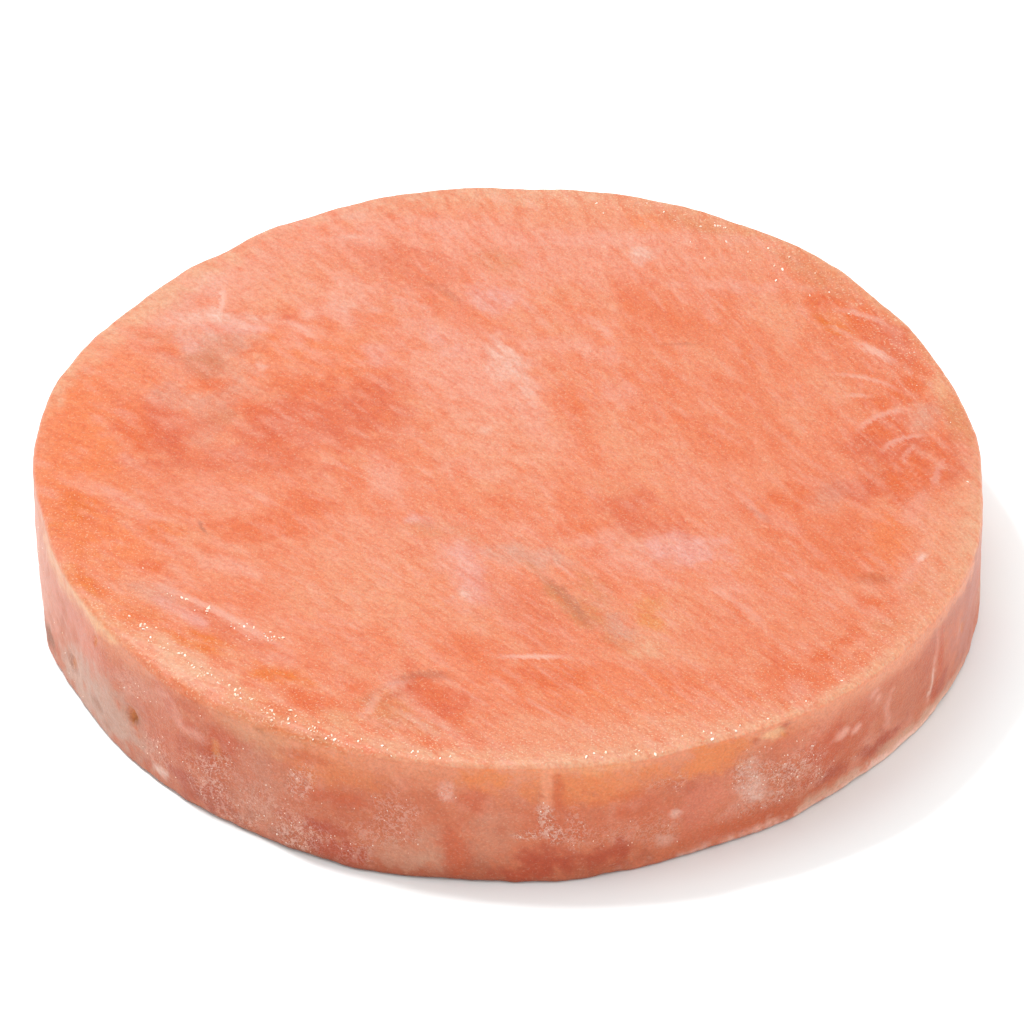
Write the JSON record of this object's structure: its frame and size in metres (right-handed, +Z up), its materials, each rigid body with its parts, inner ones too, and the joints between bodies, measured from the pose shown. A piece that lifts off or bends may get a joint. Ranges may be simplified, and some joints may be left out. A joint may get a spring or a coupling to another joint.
{
  "type": "salmon burger patty",
  "caption": "Round raw frozen salmon burger patty with a flat sawn top, an uneven edge and a pitted, frosted side.",
  "frame": {"origin": "middle of the bounding box at the flat base that the patty rests on", "axes": "+Z up through the thickness, -Y towards the side that the picture shows, +X to the picture's right"},
  "size_m": [0.0988, 0.0998, 0.0154],
  "materials": {
    "salmon_flesh": "raw frozen salmon flesh: orange pink muscle pieces with soft paler seams, a satin sawn top and thin frost on the side"
  },
  "bodies": {
    "root": {"patty": "salmon_flesh"}
  },
  "joints": []
}
